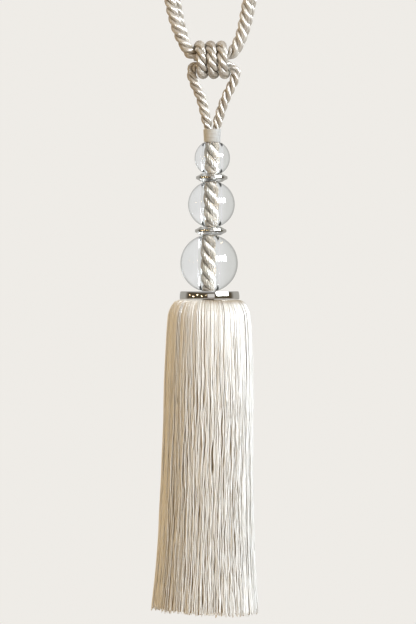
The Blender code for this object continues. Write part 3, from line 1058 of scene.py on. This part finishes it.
def polished(name, least, most, scale, **constants):
    """A polished material whose roughness varies between two values."""
    material, shader = material_of(name, **constants)
    marks = placed(material.node_tree, fine_marks, Scale=scale, Least=least, Most=most)
    feed(material.node_tree, shader.inputs["Roughness"], marks["Roughness"])
    return material


print("the group of fine marks has", len(fine_marks.nodes), "nodes")

# %% Dress the balls, the discs and the cap
clear_glass = polished("clear_glass", least=0.0, most=0.03, scale=90.0, Base_Color=(0.90, 0.93, 0.965, 1),
                       Transmission_Weight=1.0, IOR=1.5)
bright_metal = polished("bright_metal", least=0.03, most=0.12, scale=260.0, Base_Color=(0.86, 0.85, 0.83, 1),
                        Metallic=1.0)
dress(clear_glass, *balls)
dress(bright_metal, *discs, cap)

# %% [markdown]
# ## The bores of the balls
# A dry bore would throw the light back in a dark band beside the rope. The real balls show the rope wide and
# plain, as a bore does that a clear filler has wetted. So the bore's wall is a second finish, which bends the
# light less than the outside does and is a little rougher.

# %% Finish the bores
SLACK = 0.01
filled_bore = polished("filled_bore", least=0.05, most=0.14, scale=90.0, Base_Color=(0.97, 0.98, 0.98, 1),
                       Transmission_Weight=1.0, IOR=1.2)
for ball, (_, node, _, seat) in zip(balls, BALLS):
    axis = middle_of(node)
    ball.data.materials.append(filled_bore)
    for face in ball.data.polygons:
        reach = max((ball.data.vertices[v].co - axis).xy.length for v in face.vertices)
        face.material_index = int(reach < (seat + SLACK) * MM)
    print(ball.name, "has", sum(face.material_index for face in ball.data.polygons), "faces in its bore")

# %% [markdown]
# ## The floor
# A tieback hangs at about a metre's height, so the plain pale floor lies far below it. A floor close under
# the tassel would throw its light up into the skirt. It is left out of mirrors and glass, which show the
# surroundings instead.

# %% Lay the floor
FLOOR_HEIGHT = -1.15
FLOOR_RADIUS = 1.2
bpy.ops.object.select_all(action="DESELECT")
bpy.ops.mesh.primitive_circle_add(vertices=96, radius=FLOOR_RADIUS, fill_type="NGON",
                                  location=(0, 0, FLOOR_HEIGHT))
floor = bpy.context.object
floor.name = "floor"
floor_paint, _ = material_of("floor_paint", Base_Color=(0.78, 0.80, 0.84, 1), Roughness=0.9,
                             Specular_IOR_Level=0.0)
dress(floor_paint, floor)
floor.visible_transmission = False
floor.visible_glossy = False

# %% [markdown]
# ## The surroundings
# The surroundings are plain and pale, and they are drawn as soft bands of colour in the world instead of
# walls, which would cut off the view from behind. The bright metal and the glass need something darker to
# mirror. The left side of the silk is filled warmer than the right, as in a room with warm lamps on one side
# and a window on the other. So the world is made of three parts: what mirrors show, what glass lets through
# and what fills the shadows. A band's two limits are parts of a direction, from -1 to 1, where X runs to the
# right, Y to the back and Z up.

# %% Colours of the surroundings
PALE = (0.861, 0.838, 0.799, 1)
DARK = (0.09, 0.07, 0.045, 1)
BEHIND = (0.42, 0.41, 0.38, 1)
CEILING = (0.50, 0.50, 0.50, 1)
GROUND = (0.44, 0.43, 0.42, 1)
RIM = (0.36, 0.35, 0.32, 1)
LEFT_BEHIND = (0.76, 0.74, 0.69, 1)
WARM_SIDE = (0.62, 0.37, 0.06, 1)
COOL_SIDE = (0.44, 0.47, 0.51, 1)
BACK_FILL = (1.5, 1.43, 1.3, 1)

world = bpy.data.worlds.new("studio")
bpy.context.scene.world = world
world.use_nodes = True
room = world.node_tree
_, way = parts_of(room, "ShaderNodeTexCoord", "Generated")
rise = maths(room, "ABSOLUTE", way["Z"])


def band(source, low, high, below, above):
    """One colour that turns softly into another while the source goes from low to high."""
    return blend_of(room, share_of(room, source, low, high), below, above)


# %% What mirrors, glass and silk get from the room
steep = band(way["Z"], -0.3, 0.3, GROUND, CEILING)
front = band(rise, 0.3, 0.55, DARK, steep)
back = band(rise, 0.35, 0.7, BEHIND, steep)
mirrored = band(way["Y"], 0.0, 0.4, front, back)
backdrop = band(way["X"], -0.6, -0.1, LEFT_BEHIND, PALE)
through = band(way["Y"], 0.15, 0.6, RIM, backdrop)
sides = band(way["X"], -0.6, 0.6, WARM_SIDE, COOL_SIDE)
fill = band(way["Y"], 0.3, 0.8, sides, BACK_FILL)

rays = room.nodes.new("ShaderNodeLightPath").outputs
seen = blend_of(room, rays["Is Diffuse Ray"], mirrored, fill)
seen = blend_of(room, rays["Is Transmission Ray"], seen, through)
seen = blend_of(room, rays["Is Camera Ray"], seen, PALE)
feed(room, room.nodes["Background"].inputs["Color"], seen)
print("the world has", len(room.nodes), "nodes")

# %% [markdown]
# ## Lights
# One wide window at the right and a little above lights the tassel. A second light in the same place shows
# in mirrors, glass and gloss alone, so the shine can be set apart from the brightness. A weak light from
# above whitens the shoulder, a dim card in front gives the metal a grey patch, and a few small warm lamps at
# the left leave golden marks on it. A row of the lamps' table holds the azimuth and the elevation in degrees,
# the width in metres and the power in watts.

# %% A light that faces the tassel
TASSEL_MIDDLE = Vector((0, 0, -0.33))


def soft_light(name, azimuth, elevation, distance, size, power, colour=(1, 1, 1)):
    """An area light that faces the tassel. Azimuth is to the right of the camera, in degrees."""
    light = bpy.data.lights.new(name, "AREA")
    light.shape = "RECTANGLE"
    light.size, light.size_y = size
    light.energy = power
    light.color = colour
    lamp = bpy.data.objects.new(name, light)
    a, e = math.radians(azimuth), math.radians(elevation)
    way = Vector((math.sin(a) * math.cos(e), -math.cos(a) * math.cos(e), math.sin(e)))
    lamp.location = TASSEL_MIDDLE + way * distance
    lamp.rotation_euler = way.to_track_quat("Z", "Y").to_euler()
    bpy.context.scene.collection.objects.link(lamp)
    print(name, "gives", power, "W")
    return lamp


# %% Place the lights
WINDOW = {"azimuth": 53, "elevation": 19}
WARM = (1.0, 0.76, 0.44)
LAMP_DISTANCE = 1.5
LAMP_HEIGHT = 0.05
LAMPS_LEFT = (
    (-84, 9, 0.06, 0.16),
    (-66, 3, 0.13, 0.5),
    (-48, 12, 0.08, 0.4),
    (-30, 5, 0.12, 0.35),
    (-14, 10, 0.05, 0.16),
)
soft_light("window_right", **WINDOW, distance=1.3, size=(1.16, 0.5), power=18, colour=(0.89, 0.95, 1.0))
window_shine = soft_light("window_shine", **WINDOW, distance=1.29, size=(1.15, 0.5), power=24,
                          colour=(0.96, 0.98, 1.0))
window_shine.visible_diffuse = False
overhead = soft_light("overhead", azimuth=-60, elevation=68, distance=1.3, size=(0.8, 0.8), power=7,
                      colour=(0.94, 0.97, 1.0))
overhead.visible_glossy = False
overhead.visible_transmission = False
soft_light("card_front", azimuth=6, elevation=4, distance=2.0, size=(0.95, 1.0), power=1.8)
for azimuth, elevation, width, power in LAMPS_LEFT:
    lamp = soft_light("lamp_left", azimuth, elevation, LAMP_DISTANCE, (width, LAMP_HEIGHT), power, WARM)
    lamp.visible_transmission = False
bpy.context.scene.view_settings.view_transform = "Standard"

# %% [markdown]
# ## Put the tool away
# The strand's outline was only a tool, so it is put away.

# %% Put away the strand's outline
bpy.data.objects.remove(outline)
